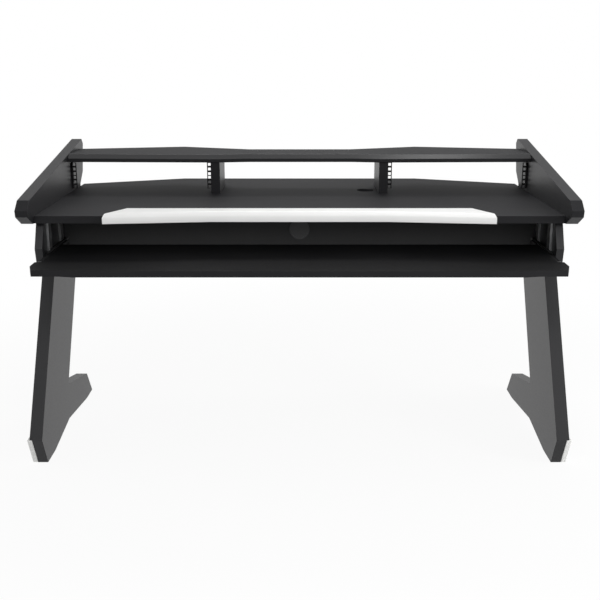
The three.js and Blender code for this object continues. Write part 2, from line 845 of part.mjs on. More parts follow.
const floorGlide = (place) => turned([
  [0, -glidePinLength],
  [glidePinRadius, -glidePinLength],
  [glidePinRadius, 0],
  [glideRadius, 0],
  [glideRadius, glideHeight - seatGap],
  [0, glideHeight - seatGap],
], [0, 0, -1], place, holeSides / 2);

function cheek(side) {
  const topZ = undersideZ - seatGap;
  const outline = [
    [cheekBottomFrontY, cheekBottomZ],
    [cheekBottomRearY, cheekBottomZ],
    [cheekTopRearY, topZ],
    [cheekTopFrontY, topZ],
    [cheekNoseY, undersideZ - cheekNoseDrop],
  ];
  return shaped(boardAt(side, outline, cheekInnerX, cheekThickness - seatGap), [
    ...drilled(backPanelDowels(side)),
    ...legBoltHoles(side),
    ...outerScrewHoles(side),
  ]);
}

// Back panel: its lower corners are cut away for the slides, and it has a grommet in the middle
const grommetPlace = [0, backPanelY - seatGap, grommetZ];
const grommetTubeRadius = grommetHoleRadius - seatGap;
const grommetBore = grommetTubeRadius - grommetWall;
const grommetCapThickness = grommetRim;
const grommetSeat = grommetRim - grommetCapThickness - seatGap;

function backPanel() {
  const notchX = trayHalf - slideNotchGap;
  const edgeX = cheekInnerX - seatGap;
  const outline = mirrored([
    [notchX, undersideZ - backPanelDrop],
    [notchX, backPanelNotchZ],
    [edgeX, backPanelNotchZ],
    [edgeX, undersideZ - seatGap],
  ]);
  const hole = rod(
    grommetHoleRadius,
    backPanelThickness * 2,
    [0, 1, 0],
    [0, backPanelMiddleY, grommetZ],
    holeSides,
  );
  return shaped(
    drawnSection(outline, backPanelY, backPanelThickness),
    [hole],
    sides.flatMap(([side]) => pegged(backPanelDowels(side))),
  );
}

const grommetRing = () => turned([
  [grommetBore, -backPanelThickness],
  [grommetTubeRadius, -backPanelThickness],
  [grommetTubeRadius, 0],
  [grommetRadius, 0],
  [grommetRadius, grommetRim],
  [grommetBore, grommetRim],
  [grommetBore, grommetSeat],
  [grommetBore - grommetLedge, grommetSeat],
  [grommetBore - grommetLedge, grommetSeat - grommetWall],
  [grommetBore, grommetSeat - grommetWall],
  [grommetBore, -backPanelThickness],
], [0, -1, 0], grommetPlace, holeSides);

const grommetCap = () => turned([
  [0, grommetSeat + seatGap],
  [grommetBore - seatGap, grommetSeat + seatGap],
  [grommetBore - seatGap, grommetRim],
  [0, grommetRim],
], [0, -1, 0], grommetPlace, holeSides);

// The desk
add('worktop', worktop(), blackLaminate());
add('armrest_pad', armrestPad(), whiteLeatherette());
add('armrest_board', shaped(
  flatBoard(inset(armrestOutline, armrestCover), undersideZ, armrestBoardThickness),
  armrestScrewHoles(),
), blackLacquer());
armrestPlateXs.forEach((x, i) => add(`armrest_plate_${i + 1}`, armrestPlate(x), zincSteel()));
add('bridge_shelf', bridgeShelf(), blackLaminate());
add('back_panel', backPanel(), blackLacquer());
add('grommet_ring', grommetRing(), blackPlastic());
add('grommet_cap', grommetCap(), blackPlastic());
add('keyboard_tray', keyboardTray(), blackLaminate());

for (const [side, word] of sides) {
  add(`side_panel_${word}`, sidePanel(side), blackLaminate());
  add(`leg_${word}`, leg(side), blackLaminate());
  add(`toe_plate_${word}`, boardAt(side, toePlateOutline, toePlateX, toePlateThickness), whiteLaminate());
  glidePlaces(side).forEach((place, i) =>
    add(`floor_glide_${['front', 'rear'][i]}_${word}`, floorGlide(place), blackPlastic()));
  add(`cheek_${word}`, cheek(side), blackLaminate());
  add(`upright_${word}`, upright(side), blackLaminate());
  legBoltPlaces.forEach((place, i) => add(`leg_bolt_${i + 1}_${word}`, legBolt(side, place), zincSteel()));
  add(`slide_outer_${word}`, slideOuter(side), blackSteel());
  add(`slide_inner_${word}`, slideInner(side), blackSteel());
  add(`slide_end_cap_${word}`, slideEndCap(side), blackPlastic());
  add(`ball_retainer_${word}`, ballRetainer(side), zincSteel());
  for (const [end, frontY] of bracketYs) {
    add(`slide_bracket_${end}_${word}`, slideBracket(side, frontY), zincSteel());
  }
}

for (const [word, wallX, inward] of railWalls) {
  add(`rack_rail_${word}`, rackRail(wallX, inward), blackSteel());
  railScrewPlaces(wallX, inward).forEach((place, i) =>
    add(`rail_screw_${['lower', 'upper'][i]}_${word}`, screw([inward, 0, 0], place), zincSteel()));
}

const desk = new THREE.Group();
desk.name = 'studio_desk';
desk.add(...pieces);

export default desk;
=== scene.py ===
import json
from math import pi, radians

import bpy
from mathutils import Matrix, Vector


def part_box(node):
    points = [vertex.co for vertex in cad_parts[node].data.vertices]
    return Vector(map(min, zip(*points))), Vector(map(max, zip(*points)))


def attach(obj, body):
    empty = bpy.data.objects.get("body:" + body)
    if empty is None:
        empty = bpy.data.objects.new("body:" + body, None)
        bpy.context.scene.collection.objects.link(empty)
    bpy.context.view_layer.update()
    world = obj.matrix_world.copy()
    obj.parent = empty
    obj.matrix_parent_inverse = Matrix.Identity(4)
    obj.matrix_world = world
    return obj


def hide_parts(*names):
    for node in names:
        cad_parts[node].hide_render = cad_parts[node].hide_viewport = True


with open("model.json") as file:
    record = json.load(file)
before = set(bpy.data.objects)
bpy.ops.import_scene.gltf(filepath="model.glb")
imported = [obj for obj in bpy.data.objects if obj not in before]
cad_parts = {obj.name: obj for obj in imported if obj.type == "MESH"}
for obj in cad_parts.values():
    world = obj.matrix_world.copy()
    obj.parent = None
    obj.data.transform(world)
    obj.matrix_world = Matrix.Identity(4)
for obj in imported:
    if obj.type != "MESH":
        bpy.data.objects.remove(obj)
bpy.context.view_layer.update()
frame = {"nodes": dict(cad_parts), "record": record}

bl_info = {
    "name": "Studio Desk",
    "version": (1, 0, 0),
    "blender": (4, 5, 0),
    "location": "View3D > Sidebar > Studio Desk",
    "description": "Finishes a studio desk with rack bays, a padded armrest and a sliding tray",
    "category": "Object",
}

MM = 0.001
NODES = frame["nodes"]
BODIES = frame["record"]["behaviour"]["bodies"]
BODY_OF = {node: body for body, nodes in BODIES.items() for node in nodes}
SLOT_OF = {part["node"]: part["material_slot"] for part in frame["record"]["subparts"]}
SIDES = ("left", "right")

# Meshes: how near two points are to be one, how flat two faces are to be one, what shades smooth
MERGE_GAP = 0.01 * MM
TOUCH = MERGE_GAP * 10
FLAT_ANGLE = radians(0.6)
SMOOTH_ANGLE = radians(38)
EASED_ANGLE = radians(25)
EASED_STEPS = 2
SLIDE_STEPS = 1

# Boards: the share of a face's normal that runs through the thickness, on its faces and slopes
AXIS_X = 0
AXIS_Z = 2
FACE_SHARE = 0.8
SLOPE_SHARE = 0.2

# Armrest: how level its top and bottom are, the steps and profile of its bevels, and its crown
LEVEL_SHARE = 0.999
BAND_STEPS = 8
BAND_PROFILE = 0.3
BACK_STEPS = 5
ROUND_PROFILE = 0.5
COVER_EDGE_STEPS = 3
COVER_EDGE_ANGLE = radians(35)
CROWN_SHARES = (0.5, 0.3, 0.2)
CROWN_INSET_SHARE = 0.7

# Screws and bolts
SOCKET_SIDES = 6
BOLT_SOCKET_DEPTH_SHARE = 0.7

# Noise lies mostly between these two levels
NOISE_LOW = 0.3
NOISE_HIGH = 0.7
CLOUD_DETAIL = 3.0

# Floor, in metres from the desk's middle: near it, a small share is lit and keeps the shadow
FLOOR_RADIUS = 9
FLOOR_SIDES = 64
SHADOW_FADE_START = 0.9
SHADOW_FADE_END = 2.4
WHITE_SHARE_NEAR = 0.93
FLOOR_GREY = (0.85, 0.85, 0.85, 1)
WHITE = (1, 1, 1, 1)
SENSOR_WIDTH = 36


def linear(colour):
    """An sRGB hex colour as linear red, green and blue."""
    shares = [int(colour[i:i + 2], 16) / 255 for i in (1, 3, 5)]
    return tuple(s / 12.92 if s <= 0.04045 else ((s + 0.055) / 1.055) ** 2.4 for s in shares)


def length(name, description, millimetres):
    """A length property, written in millimetres."""
    return bpy.props.FloatProperty(
        name=name,
        description=description,
        default=millimetres * MM,
        min=0,
        precision=5,
        unit="LENGTH",
    )


def colour(name, description, value):
    """A colour property, written as an sRGB hex value."""
    return bpy.props.FloatVectorProperty(
        name=name,
        description=description,
        default=linear(value),
        min=0,
        max=1,
        subtype="COLOR",
    )


class DeskSizes(bpy.types.PropertyGroup):
    """Sizes that the looks add to the frame"""

    board_round: length("Board edges", "Radius of the milled edges of the 2 mm banding", 2)
    sheet_round: length("Steel edges", "Radius of the edges of bent and punched steel", 0.25)
    moulded_round: length("Moulded edges", "Radius of the edges of the plastic fittings", 0.5)
    screw_socket: length("Screw socket", "Radius and depth of a rail screw's socket", 1.2)
    bolt_socket: length("Bolt socket", "Radius of the socket in a leg bolt's head", 2.9)
    slide_round: length("Slide edges", "Radius of the edges of the slides' drawn steel", 0.1)
    cover_round: length("Armrest round", "Depth of the armrest's full outline below its top", 10)
    cover_band: length("Armrest band", "Width of the rounded band along its upper front edge", 12)
    cover_back: length("Armrest back", "Radius of the armrest's upper rear and end edges", 3.5)
    cover_crown: length("Armrest crown", "Rise of the armrest's top towards its middle", 0.8)
    cover_edge: length("Armrest edge", "Radius of the armrest's upright and lower edges", 1.6)
    cover_fold: length("Armrest fold", "Width of the cover that is folded under the armrest", 5.4)
    cover_room: length("Armrest room", "Gap between the armrest's board and its cover", 0.4)


class DeskFinishes(bpy.types.PropertyGroup):
    """Colours of the finishes"""

    laminate: colour("Laminate", "Melamine faces of the boards", "#1B1B1D")
    # The tray's black is darker than the laminate's: painted shade, standing in for the shade that
    # the worktop casts on the tray
    tray: colour("Tray laminate", "Melamine face of the keyboard tray", "#0D0D0E")
    edging: colour("Edge banding", "Plastic banding on the boards' edges", "#1C1C1E")
    lacquer: colour("Lacquer", "Matt lacquer of the back panel and the armrest's board", "#1A1A1B")
    cover: colour("Armrest cover", "Leatherette of the armrest", "#F1F1F0")
    toe_plate: colour("Toe plates", "White melamine of the plates in the toes", "#F6F6F4")
    steel: colour("Coated steel", "Powder coat of the rack rails and the slides", "#161617")
    zinc: colour("Zinc plating", "Plated brackets, bolts and screws", "#9B9C9D")
    plastic: colour("Plastic", "Moulded glides, grommet and end caps", "#242425")


class DeskStage(bpy.types.PropertyGroup):
    """Camera and light"""

    camera_distance: length("Camera distance", "From the desk's middle to the lens", 3084.5)
    camera_height: length("Camera height", "From the floor to the lens", 1260.5)
    camera_tilt: bpy.props.FloatProperty(
        name="Camera tilt",
        description="How far the lens points down",
        default=radians(14.97),
        subtype="ANGLE",
    )
    lens: bpy.props.FloatProperty(
        name="Lens", description="Focal length in millimetres", default=57, min=1
    )
    shift: bpy.props.FloatProperty(
        name="Sideways shift",
        description="Sideways shift of the picture, as a share of its width",
        default=0.0009,
    )
    sky: bpy.props.FloatProperty(
        name="Sky", description="Level of the light from all round", default=0.22, min=0
    )
    lamps: bpy.props.FloatProperty(
        name="Lamps", description="Level of the soft lamps", default=1, min=0
    )


def sizes():
    """The sizes that the looks add."""
    return bpy.context.scene.desk_sizes


def finishes():
    """The colours of the finishes."""
    return bpy.context.scene.desk_finishes


# Nodes and materials


def put(tree, kind, settings=None, links=None):
    """Adds a node, sets its settings and sockets by name, and links its inputs to other outputs."""
    node = tree.nodes.new(kind)
    for name, value in (settings or {}).items():
        if name in node.inputs:
            node.inputs[name].default_value = value
        else:
            setattr(node, name, value)
    for name, source in (links or {}).items():
        tree.links.new(source, node.inputs[name])
    return node


def surface(name, shader, tones, cloud, grain, roughness, pattern="ShaderNodeTexNoise"):
    """A surface whose colour varies in patches and that has a grain of a real size and depth.

    shader sets the shader's own sockets. tones are the darker and the lighter linear colour, cloud
    is the size of their patches, and roughness its lowest and highest value.
    """
    material = bpy.data.materials.new(name)
    material.use_nodes = True
    tree = material.node_tree
    tree.nodes.clear()
    place = put(tree, "ShaderNodeTexCoord").outputs["Object"]
    patches = put(
        tree,
        "ShaderNodeTexNoise",
        {"Scale": 1 / cloud, "Detail": CLOUD_DETAIL},
        {"Vector": place},
    )
    tone = put(
        tree,
        "ShaderNodeMapRange",
        {"From Min": NOISE_LOW, "From Max": NOISE_HIGH},
        {"Value": patches.outputs["Fac"]},
    )
    mixed = put(tree, "ShaderNodeMix", {"data_type": "RGBA"}, {"Factor": tone.outputs["Result"]})
    darkest, lightest = (socket for socket in mixed.inputs if socket.type == "RGBA")
    darkest.default_value = (*tones[0], 1)
    lightest.default_value = (*tones[1], 1)
    fine = put(tree, pattern, {"Scale": 1 / grain["size"]}, {"Vector": place})
    value = fine.outputs["Fac" if "Fac" in fine.outputs else "Distance"]
    shine = put(
        tree,
        "ShaderNodeMapRange",
        {
            "From Min": NOISE_LOW,
            "From Max": NOISE_HIGH,
            "To Min": roughness[0],
            "To Max": roughness[1],
        },
        {"Value": value},
    )
    relief = put(
        tree,
        "ShaderNodeBump",
        {"Strength": grain["strength"], "Distance": grain["depth"]},
        {"Height": value},
    )
    toned = next(socket for socket in mixed.outputs if socket.type == "RGBA")
    skin = put(
        tree,
        "ShaderNodeBsdfPrincipled",
        shader,
        {
            "Base Color": toned,
            "Roughness": shine.outputs["Result"],
            "Normal": relief.outputs["Normal"],
        },
    )
    put(tree, "ShaderNodeOutputMaterial", {}, {"Surface": skin.outputs["BSDF"]})
    return material


def lighter(colour, share):
    """The colour brought towards white by a share."""
    return tuple(c + (1 - c) * share for c in colour)


def darker(colour, share):
    """The colour brought towards black by a share."""
    return tuple(c * (1 - share) for c in colour)


def melamine_laminate():
    """Melamine paper pressed on chipboard with a pearl plate: a matt face for the boards that
    things stand on, whose tiny pits soften every reflection. The pits, 0.5 mm apart on the board,
    are drawn 2.5 mm apart to show at all."""
    black = finishes().laminate
    return surface(
        "melamine_laminate",
        shader={"IOR": 1.5, "Specular IOR Level": 0.09},
        tones=(darker(black, 0.06), lighter(black, 0.004)),
        cloud=260 * MM,
        grain={"size": 2.5 * MM, "depth": 0.06 * MM, "strength": 0.12},
        roughness=(0.6, 0.7),
    )


def tray_melamine():
    """The tray's face: the deepest and flattest black of the desk, a darker copy of the laminate
    whose extra depth is painted shade from the worktop above. Its pits, 0.5 mm apart on the board,
    are drawn 2.5 mm apart."""
    black = finishes().tray
    return surface(
        "tray_melamine",
        shader={"IOR": 1.5, "Specular IOR Level": 0.05},
        tones=(darker(black, 0.06), lighter(black, 0.003)),
        cloud=260 * MM,
        grain={"size": 2.5 * MM, "depth": 0.06 * MM, "strength": 0.12},
        roughness=(0.6, 0.7),
    )


def satin_melamine():
    """The smoother melamine of the upright boards, which carries a satin sheen along its faces. Its
    grain, 0.5 mm on the board, is drawn at 2.5 mm."""
    black = finishes().laminate
    return surface(
        "satin_melamine",
        shader={"IOR": 1.5, "Specular IOR Level": 0.28},
        tones=(darker(black, 0.06), lighter(black, 0.004)),
        cloud=260 * MM,
        grain={"size": 2.5 * MM, "depth": 0.04 * MM, "strength": 0.08},
        roughness=(0.36, 0.44),
    )


def edge_banding():
    """Extruded ABS banding, milled flush: smoother and glossier than the matt face beside it."""
    black = finishes().edging
    return surface(
        "abs_edge_banding",
        shader={"IOR": 1.54, "Specular IOR Level": 0.11},
        tones=(darker(black, 0.05), lighter(black, 0.003)),
        cloud=180 * MM,
        grain={"size": 4 * MM, "depth": 0.04 * MM, "strength": 0.1},
        roughness=(0.42, 0.5),
    )


def polished_banding():
    """Banding buffed after milling, on the legs and cheeks, where hands and feet touch it."""
    black = finishes().edging
    return surface(
        "polished_edge_banding",
        shader={"IOR": 1.54, "Specular IOR Level": 0.24},
        tones=(darker(black, 0.05), lighter(black, 0.003)),
        cloud=180 * MM,
        grain={"size": 4 * MM, "depth": 0.04 * MM, "strength": 0.1},
        roughness=(0.42, 0.5),
    )


def sloped_foil():
    """Foil on the shelf's sloping front edge: smooth enough to show the lamp overhead."""
    black = finishes().edging
    return surface(
        "sloped_edge_foil",
        shader={"IOR": 1.5, "Specular IOR Level": 0.42},
        tones=(darker(black, 0.05), lighter(black, 0.003)),
        cloud=180 * MM,
        grain={"size": 4 * MM, "depth": 0.03 * MM, "strength": 0.06},
        roughness=(0.29, 0.35),
    )


def matt_lacquer():
    """Sprayed matt lacquer on board: no clear reflection, and a faint orange peel."""
    black = finishes().lacquer
    return surface(
        "matt_lacquer",
        shader={"IOR": 1.48, "Specular IOR Level": 0.3},
        tones=(darker(black, 0.08), lighter(black, 0.004)),
        cloud=220 * MM,
        grain={"size": 3 * MM, "depth": 0.05 * MM, "strength": 0.1},
        roughness=(0.6, 0.7),
    )


def white_melamine():
    """White melamine on the toe plates: an even satin white."""
    white = finishes().toe_plate
    return surface(
        "white_melamine",
        shader={"IOR": 1.5, "Specular IOR Level": 0.45},
        tones=(darker(white, 0.03), white),
        cloud=60 * MM,
        grain={"size": 2.5 * MM, "depth": 0.05 * MM, "strength": 0.08},
        roughness=(0.38, 0.46),
    )


def leatherette():
    """Polyurethane leatherette stretched over firm foam: a soft sheen, a pebbled grain, and broad
    patches of a barely greyer white. The grain, 1.2 mm on the cover, is drawn at 3 mm to show."""
    white = finishes().cover
    return surface(
        "pebbled_leatherette",
        shader={
            "IOR": 1.48,
            "Specular IOR Level": 0.3,
            "Sheen Weight": 0.03,
            "Sheen Roughness": 0.4,
        },
        tones=(darker(white, 0.03), white),
        cloud=90 * MM,
        grain={"size": 3 * MM, "depth": 0.12 * MM, "strength": 0.25},
        roughness=(0.32, 0.42),
        pattern="ShaderNodeTexVoronoi",
    )


def powder_coat():
    """Polyester powder baked on steel: an even fine orange peel that spreads each highlight."""
    black = finishes().steel
    return surface(
        "black_powder_coat",
        shader={"IOR": 1.5, "Specular IOR Level": 0.12},
        tones=(darker(black, 0.08), lighter(black, 0.006)),
        cloud=70 * MM,
        grain={"size": 1.6 * MM, "depth": 0.05 * MM, "strength": 0.25},
        roughness=(0.7, 0.8),
    )


def zinc_plating():
    """Bright zinc on pressed steel: a cool metal, cloudy with passivation and faintly rough."""
    zinc = finishes().zinc
    return surface(
        "bright_zinc_plating",
        shader={"Metallic": 1.0},
        tones=(darker(zinc, 0.25), zinc),
        cloud=16 * MM,
        grain={"size": 1.2 * MM, "depth": 0.03 * MM, "strength": 0.2},
        roughness=(0.34, 0.5),
    )


def moulded_abs():
    """Injection-moulded ABS with a spark-eroded satin skin."""
    black = finishes().plastic
    return surface(
        "moulded_abs",
        shader={"IOR": 1.53, "Specular IOR Level": 0.45},
        tones=(darker(black, 0.06), lighter(black, 0.004)),
        cloud=30 * MM,
        grain={"size": 0.8 * MM, "depth": 0.04 * MM, "strength": 0.2},
        roughness=(0.46, 0.58),
    )


def finish_named(name, make):
    """The material of that name, made the first time that it is asked for. The frame's own plain
    materials are named for their slots, so no finish may have the name of a slot."""
    if name in SLOT_OF.values():
        raise ValueError(f"{name} is the name of a slot")
    return bpy.data.materials.get(name) or make()


MATT_FACE = ("melamine_laminate", melamine_laminate)
# The tray's face: the laminate darkened by painted shade from the worktop above
SHADED_TRAY_FACE = ("tray_melamine", tray_melamine)
SATIN_FACE = ("satin_melamine", satin_melamine)
MILLED_EDGE = ("abs_edge_banding", edge_banding)
SLOPED_EDGE = ("sloped_edge_foil", sloped_foil)
POLISHED_EDGE = ("polished_edge_banding", polished_banding)
FINISH_OF_SLOT = {
    "black_laminate": MATT_FACE,
    "black_lacquer": ("matt_lacquer", matt_lacquer),
    "white_leatherette": ("pebbled_leatherette", leatherette),
    "white_laminate": ("white_melamine", white_melamine),
    "black_steel": ("black_powder_coat", powder_coat),
    "zinc_steel": ("bright_zinc_plating", zinc_plating),
    "black_plastic": ("moulded_abs", moulded_abs),
}


# Making pieces


def only(piece):
    """Selects the piece and nothing else, and makes it the active one."""
    bpy.ops.object.select_all(action="DESELECT")
    piece.select_set(True)
    bpy.context.view_layer.objects.active = piece


def copied(node, name):
    """A copy of a frame node with its triangles joined and its flat faces whole."""
    piece = bpy.data.objects.new(name, NODES[node].data.copy())
    bpy.context.scene.collection.objects.link(piece)
    only(piece)
    piece.data.materials.clear()
    bpy.ops.mesh.customdata_custom_splitnormals_clear()
    bpy.ops.object.mode_set(mode="EDIT")
    bpy.ops.mesh.select_all(action="SELECT")
    bpy.ops.mesh.remove_doubles(threshold=MERGE_GAP)
    bpy.ops.mesh.dissolve_limited(angle_limit=FLAT_ANGLE)
    bpy.ops.mesh.select_all(action="DESELECT")
    bpy.ops.object.mode_set(mode="OBJECT")
    return piece


def eased(piece, radius, segments=EASED_STEPS, angle=EASED_ANGLE):
    """Rounds the piece's sharp edges and shades it so that its flat faces stay flat."""
    only(piece)
    bpy.ops.object.shade_smooth_by_angle(angle=SMOOTH_ANGLE)
    bevel = piece.modifiers.new("eased_edges", "BEVEL")
    bevel.width = radius
    bevel.segments = segments
    bevel.limit_method = "ANGLE"
    bevel.angle_limit = angle
    bevel.harden_normals = True
    bpy.ops.object.modifier_apply(modifier=bevel.name)
    return piece


def placed(piece, node):
    """The piece stands for the node, whose frame part it hides, and rides on its body."""
    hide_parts(node)
    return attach(piece, BODY_OF[node])


def board(node, axis, face_finish, edge_finish, slope_finish):
    """A laminated board, whose thickness runs along the axis: its two faces, its edges and its
    sloping edges each have a finish of their own."""
    piece = copied(node, f"{node}_board")
    for finish in (face_finish, edge_finish, slope_finish):
        piece.data.materials.append(finish_named(*finish))
    for face in piece.data.polygons:
        through = abs(face.normal[axis])
        face.material_index = 0 if through > FACE_SHARE else 2 if through > SLOPE_SHARE else 1
    return placed(eased(piece, sizes().board_round), node)


def fitting(node, name, radius, segments=EASED_STEPS):
    """A copy of a node in the finish of its slot, with its edges eased."""
    piece = copied(node, name)
    piece.data.materials.append(finish_named(*FINISH_OF_SLOT[SLOT_OF[node]]))
    return placed(eased(piece, radius, segments), node)


class DESK_OT_boards(bpy.types.Operator):
    """Finish the worktop, shelf, tray, side panels, legs, cheeks and uprights"""

    bl_idname = "studio_desk.boards"
    bl_label = "Boards"

    def execute(self, context):
        board("worktop", AXIS_Z, MATT_FACE, MILLED_EDGE, MILLED_EDGE)
        board("bridge_shelf", AXIS_Z, MATT_FACE, MILLED_EDGE, SLOPED_EDGE)
        board("keyboard_tray", AXIS_Z, SHADED_TRAY_FACE, MILLED_EDGE, MILLED_EDGE)
        for side in SIDES:
            for node in ("side_panel", "upright"):
                board(f"{node}_{side}", AXIS_X, SATIN_FACE, MILLED_EDGE, MILLED_EDGE)
            for node in ("leg", "cheek"):
                board(f"{node}_{side}", AXIS_X, SATIN_FACE, POLISHED_EDGE, POLISHED_EDGE)
        return {"FINISHED"}


class DESK_OT_back_panel(bpy.types.Operator):
    """Finish the lacquered back panel and its grommet"""

    bl_idname = "studio_desk.back_panel"
    bl_label = "Back panel"

    def execute(self, context):
        fitting("back_panel", "back_panel_board", sizes().board_round)
        for node in ("grommet_ring", "grommet_cap"):
            fitting(node, f"{node}_moulding", sizes().moulded_round)
        return {"FINISHED"}


class DESK_OT_armrest(bpy.types.Operator):
    """Make the padded armrest, its board and its steel plates"""

    bl_idname = "studio_desk.armrest"
    bl_label = "Armrest"

    def execute(self, context):
        armrest_cover()
        fitting("armrest_board", "armrest_board_inside", sizes().board_round)
        for node in sorted(NODES):
            if node.startswith("armrest_plate"):
                fitting(node, f"{node}_steel", sizes().sheet_round)
        return {"FINISHED"}


def picked(piece, kind, test):
    """Selects the piece's vertices, edges or faces that pass a test, and goes back to edit mode."""
    bpy.ops.mesh.select_mode(type=kind)
    bpy.ops.mesh.select_all(action="DESELECT")
    bpy.ops.object.mode_set(mode="OBJECT")
    mesh = piece.data
    for item in {"VERT": mesh.vertices, "EDGE": mesh.edges, "FACE": mesh.polygons}[kind]:
        item.select = test(item)
    bpy.ops.object.mode_set(mode="EDIT")


def top_edges(piece, top, middle, front):
    """Selects the edges round the top face that lie in front of the middle, or the other ones."""
    points = piece.data.vertices

    def wanted(edge):
        ends = [points[i].co for i in edge.vertices]
        return min(end.z for end in ends) > top and (max(end.y for end in ends) < middle) == front

    picked(piece, "EDGE", wanted)


def level_faces(piece, above=None, below=None):
    """Selects the level faces above or below a height."""
    picked(
        piece,
        "FACE",
        lambda face: abs(face.normal.z) > LEVEL_SHARE
        and (above is None or face.center.z > above)
        and (below is None or face.center.z < below),
    )


def armrest_cover():
    """The leatherette cover over firm foam. It is made by moves one by one and not by a cloth
    simulation, because it is stretched flat over a board: walls, rounded band, crown, and a fold
    underneath."""
    low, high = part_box("armrest_pad")
    settings = sizes()
    piece = copied("armrest_pad", "armrest_cover")
    shoulder = high.z - settings.cover_round
    bpy.ops.object.mode_set(mode="EDIT")
    picked(piece, "VERT", lambda point: abs(point.co.z - shoulder) > TOUCH)
    bpy.ops.mesh.delete(type="VERT")
    bpy.ops.mesh.select_all(action="SELECT")
    bpy.ops.mesh.edge_face_add()
    bpy.ops.transform.translate(value=(0, 0, low.z - shoulder))
    bpy.ops.mesh.normals_make_consistent(inside=False)
    bpy.ops.mesh.extrude_region_move(TRANSFORM_OT_translate={"value": (0, 0, high.z - low.z)})
    for front, width, steps, profile in (
        (True, settings.cover_band, BAND_STEPS, BAND_PROFILE),
        (False, settings.cover_back, BACK_STEPS, ROUND_PROFILE),
    ):
        top_edges(piece, high.z - TOUCH, (low.y + high.y) / 2, front)
        bpy.ops.mesh.bevel(offset=width, segments=steps, profile=profile, affect="EDGES")
    level_faces(piece, above=high.z - TOUCH)
    for share in CROWN_SHARES:
        bpy.ops.mesh.inset(
            thickness=settings.cover_round * CROWN_INSET_SHARE, depth=settings.cover_crown * share
        )
    level_faces(piece, below=low.z + TOUCH)
    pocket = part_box("armrest_board")[1].z + settings.cover_room - low.z
    bpy.ops.mesh.inset(thickness=settings.cover_fold)
    bpy.ops.mesh.extrude_region_move(TRANSFORM_OT_translate={"value": (0, 0, pocket)})
    bpy.ops.mesh.select_all(action="SELECT")
    bpy.ops.mesh.normals_make_consistent(inside=False)
    bpy.ops.object.mode_set(mode="OBJECT")
    eased(piece, settings.cover_edge, COVER_EDGE_STEPS, COVER_EDGE_ANGLE)
    bpy.ops.object.mode_set(mode="EDIT")
    bpy.ops.mesh.select_all(action="SELECT")
    bpy.ops.mesh.dissolve_degenerate(threshold=TOUCH)
    bpy.ops.mesh.select_all(action="DESELECT")
    bpy.ops.object.mode_set(mode="OBJECT")
    piece.data.materials.append(finish_named(*FINISH_OF_SLOT["white_leatherette"]))
    placed(piece, "armrest_pad")


def socketed(node, name, outward, radius, depth):
    """A screw or bolt with a six-sided socket sunk into the outer end of its head."""
    piece = copied(node, name)
    low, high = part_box(node)
    middle = (low + high) / 2
    place = (high.x if outward > 0 else low.x, middle.y, middle.z)
    bpy.ops.object.mode_set(mode="EDIT")
    bpy.ops.mesh.select_mode(type="VERT")
    bpy.ops.mesh.select_all(action="DESELECT")
    bpy.ops.mesh.primitive_cylinder_add(
        vertices=SOCKET_SIDES,
        radius=radius,
        depth=depth * 2,
        location=place,
        rotation=(0, pi / 2, 0),
    )
    bpy.ops.mesh.intersect_boolean(operation="DIFFERENCE", solver="EXACT")
    bpy.ops.mesh.select_all(action="DESELECT")
    bpy.ops.object.mode_set(mode="OBJECT")
    piece.data.materials.append(finish_named(*FINISH_OF_SLOT[SLOT_OF[node]]))
    return placed(eased(piece, sizes().sheet_round), node)


class DESK_OT_rack_rails(bpy.types.Operator):
    """Finish the punched rack rails and their screws"""

    bl_idname = "studio_desk.rack_rails"
    bl_label = "Rack rails"

    def execute(self, context):
        for node in sorted(NODES):
            if node.startswith("rack_rail"):
                fitting(node, f"{node}_steel", sizes().sheet_round)
            if node.startswith("rail_screw"):
                outward = 1 if node.endswith(("left_outer", "right_inner")) else -1
                socket = sizes().screw_socket
                socketed(node, f"{node}_head", outward, socket, socket)
        return {"FINISHED"}


class DESK_OT_slides(bpy.types.Operator):
    """Finish the telescopic slides, their retainers, end caps and hanger brackets"""

    bl_idname = "studio_desk.slides"
    bl_label = "Slides"

    def execute(self, context):
        for node in sorted(NODES):
            if node.startswith(("slide_outer", "slide_inner", "ball_retainer")):
                fitting(node, f"{node}_steel", sizes().slide_round, SLIDE_STEPS)
            if node.startswith("slide_bracket"):
                fitting(node, f"{node}_steel", sizes().sheet_round)
            if node.startswith("slide_end_cap"):
                fitting(node, f"{node}_moulding", sizes().moulded_round)
        return {"FINISHED"}


class DESK_OT_feet(bpy.types.Operator):
    """Finish the white toe plates, the glides and the leg bolts"""

    bl_idname = "studio_desk.feet"
    bl_label = "Feet"

    def execute(self, context):
        for node in sorted(NODES):
            if node.startswith("toe_plate"):
                fitting(node, f"{node}_board", sizes().board_round)
            if node.startswith("floor_glide"):
                fitting(node, f"{node}_moulding", sizes().moulded_round)
            if node.startswith("leg_bolt"):
                outward = 1 if node.endswith("left") else -1
                socket = sizes().bolt_socket
                socketed(node, f"{node}_head", outward, socket, socket * BOLT_SOCKET_DEPTH_SHARE)
        return {"FINISHED"}


def lamp(name, place, target, size, power):
    """A rectangular soft lamp that points at a target."""
    light = bpy.data.lights.new(name, "AREA")
    light.shape = "RECTANGLE"
    light.size, light.size_y = size
    light.energy = power
    holder = bpy.data.objects.new(name, light)
    holder.location = place
    holder.rotation_euler = (Vector(target) - Vector(place)).to_track_quat("-Z", "Y").to_euler()
    bpy.context.scene.collection.objects.link(holder)
    return holder


def seen_or_mirrored(tree):
    """1 where the camera, a reflection or a see-through piece shows the white, else 0."""
    ray = put(tree, "ShaderNodeLightPath").outputs
    seen = put(
        tree,
        "ShaderNodeMath",
        {"operation": "MAXIMUM"},
        {0: ray["Is Camera Ray"], 1: ray["Is Glossy Ray"]},
    )
    return put(
        tree,
        "ShaderNodeMath",
        {"operation": "MAXIMUM"},
        {0: seen.outputs["Value"], 1: ray["Is Transmission Ray"]},
    ).outputs["Value"]


